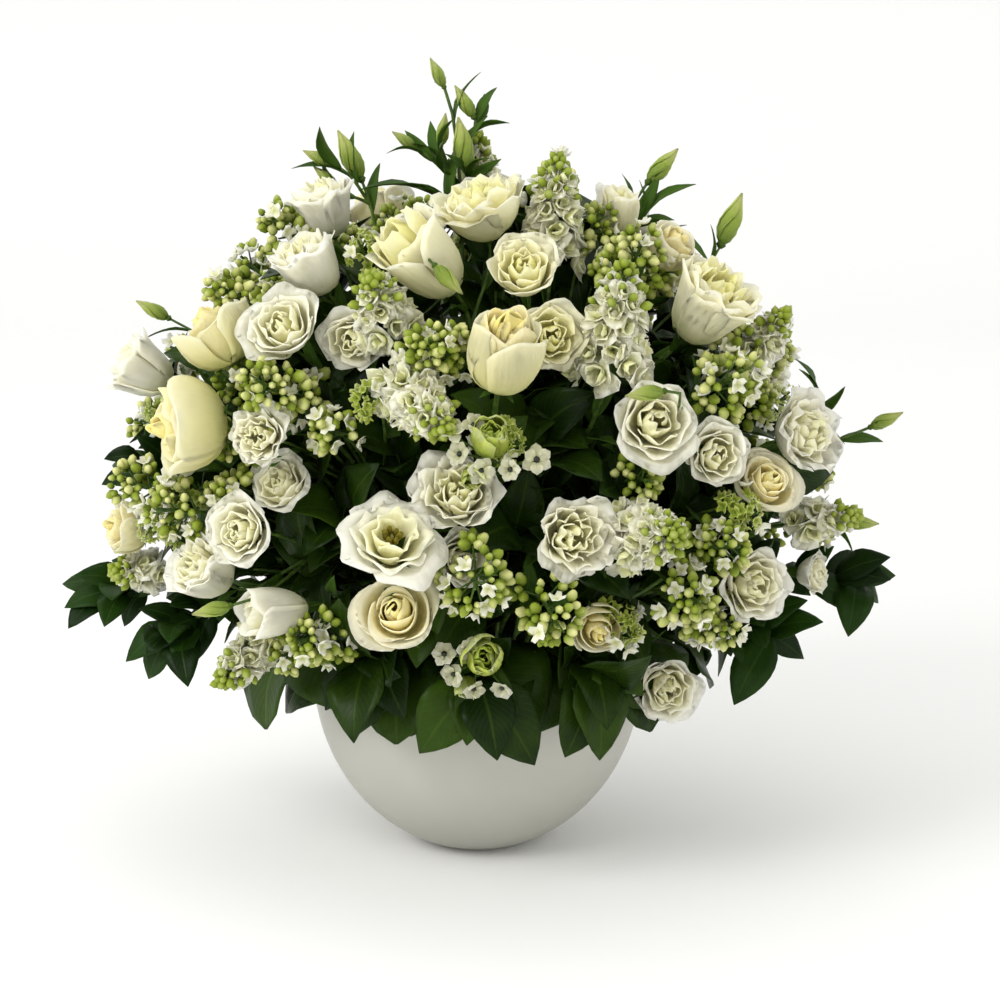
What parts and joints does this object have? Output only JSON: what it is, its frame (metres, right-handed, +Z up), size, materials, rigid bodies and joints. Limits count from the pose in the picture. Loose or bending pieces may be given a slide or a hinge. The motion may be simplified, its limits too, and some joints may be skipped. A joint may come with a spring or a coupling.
{
  "type": "floral table centerpiece",
  "caption": "Dome of cream roses, white lisianthus, stock and pearl-like buds with dark leaves in a round white bowl.",
  "frame": {"origin": "centre of the bowl's flat foot, on the ground plane", "axes": "+Z up along the bowl's axis, -Y towards the front as the picture shows it, +X to the right in the picture"},
  "size_m": [0.6559, 0.5489, 0.627],
  "materials": {
    "glaze": "satin",
    "foam": "matte",
    "white_petals": "matte",
    "cream_petals": "matte",
    "green_buds": "matte",
    "leaves": "satin"
  },
  "bodies": {
    "root": {"bowl": "glaze", "foam": "foam", "rose_1": "cream_petals", "rose_2": "cream_petals", "rose_3": "cream_petals", "rose_4": "cream_petals", "rose_5": "cream_petals", "rose_6": "cream_petals", "rose_7": "cream_petals", "rose_8": "cream_petals", "rose_9": "cream_petals", "rose_10": "cream_petals", "rose_11": "cream_petals", "rose_12": "cream_petals", "lisianthus_1": "white_petals", "lisianthus_2": "white_petals", "lisianthus_3": "white_petals", "lisianthus_4": "white_petals", "lisianthus_5": "white_petals", "lisianthus_6": "white_petals", "lisianthus_7": "white_petals", "lisianthus_8": "white_petals", "lisianthus_9": "white_petals", "lisianthus_10": "white_petals", "lisianthus_11": "white_petals", "lisianthus_12": "white_petals", "lisianthus_13": "white_petals", "stock_1": "white_petals", "stock_2": "white_petals", "stock_3": "white_petals", "stock_4": "white_petals", "stock_5": "white_petals", "stock_6": "white_petals", "stock_7": "white_petals", "stock_8": "white_petals", "stock_9": "white_petals", "stock_10": "white_petals", "pearls_1": "green_buds", "pearls_2": "green_buds", "pearls_3": "green_buds", "pearls_4": "green_buds", "pearls_5": "green_buds", "pearls_6": "green_buds", "pearls_7": "green_buds", "pearls_8": "green_buds", "pearls_9": "green_buds", "pearls_10": "green_buds", "stars": "white_petals", "buds_top": "green_buds", "buds_left": "green_buds", "buds_right": "green_buds", "buds_low": "green_buds", "leaves_left": "leaves", "leaves_right": "leaves", "leaves_front_1": "leaves", "leaves_front_2": "leaves", "leaves_front_3": "leaves", "leaves_inner": "leaves", "leaves_back_1": "leaves", "leaves_back_2": "leaves"}
  },
  "joints": []
}
